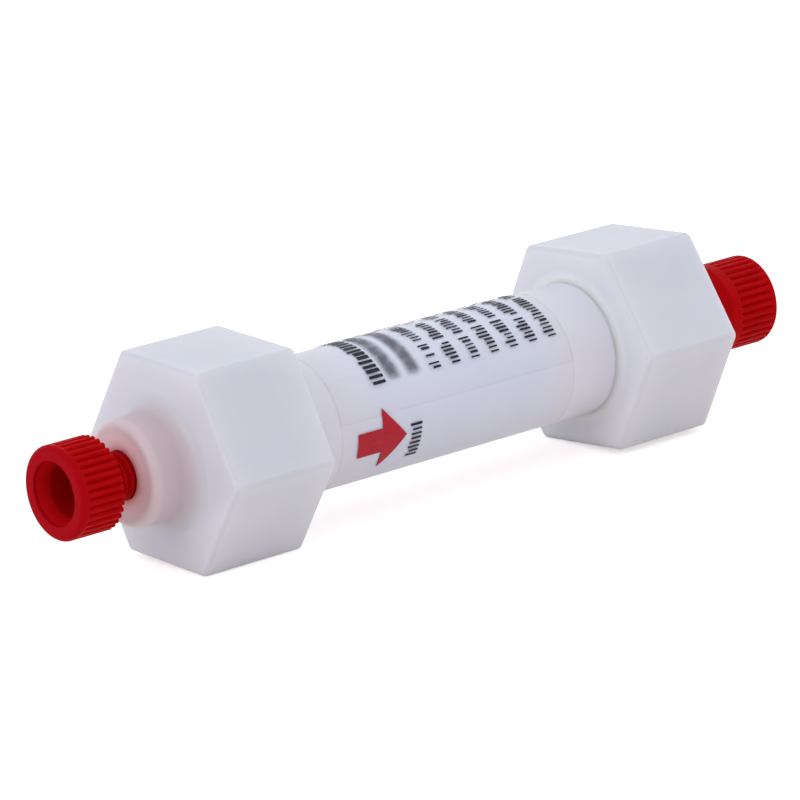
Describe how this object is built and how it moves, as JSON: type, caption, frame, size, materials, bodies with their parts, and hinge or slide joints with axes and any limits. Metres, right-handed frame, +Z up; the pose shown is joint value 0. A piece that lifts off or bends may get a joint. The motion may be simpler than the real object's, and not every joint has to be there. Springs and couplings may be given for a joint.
{
  "type": "pre-packed chromatography column",
  "caption": "Small pre-packed chromatography column: clear-labelled barrel between hexagonal end caps, closed by a red screw plug at the inlet and a red stop cap at the outlet.",
  "frame": {"origin": "on the surface the column lies on, under the middle of its overall length", "axes": "+X along the column from inlet to outlet, +Z up"},
  "size_m": [0.0896, 0.0228, 0.0205],
  "materials": {
    "cap_plastic": "milky translucent polypropylene, satin",
    "barrel_plastic": "translucent polypropylene, smooth",
    "insert_plastic": "natural polypropylene",
    "label_film": "clear self-adhesive film with plain printed marks",
    "stopper_plastic": "red polypropylene, smooth moulded",
    "frit_plastic": "sintered polyethylene",
    "ring_rubber": "black elastomer",
    "resin": "packed wet beads, white"
  },
  "bodies": {
    "column": {"barrel": "barrel_plastic", "label": "label_film", "inlet_cap": "cap_plastic", "outlet_cap": "cap_plastic", "inlet_insert": "insert_plastic", "outlet_insert": "insert_plastic", "inlet_o_ring": "ring_rubber", "outlet_o_ring": "ring_rubber", "inlet_frit": "frit_plastic", "outlet_frit": "frit_plastic", "resin_bed": "resin"},
    "plug": {"inlet_plug": "stopper_plastic"},
    "stop_cap": {"outlet_stop_cap": "stopper_plastic"}
  },
  "joints": [
    {"name": "inlet_plug_out", "type": "slide", "parent": "column", "child": "plug", "axis": [-1, 0, 0], "range_m": [0, 0.012]},
    {"name": "stop_cap_off", "type": "slide", "parent": "column", "child": "stop_cap", "axis": [1, 0, 0], "range_m": [0, 0.012]}
  ]
}
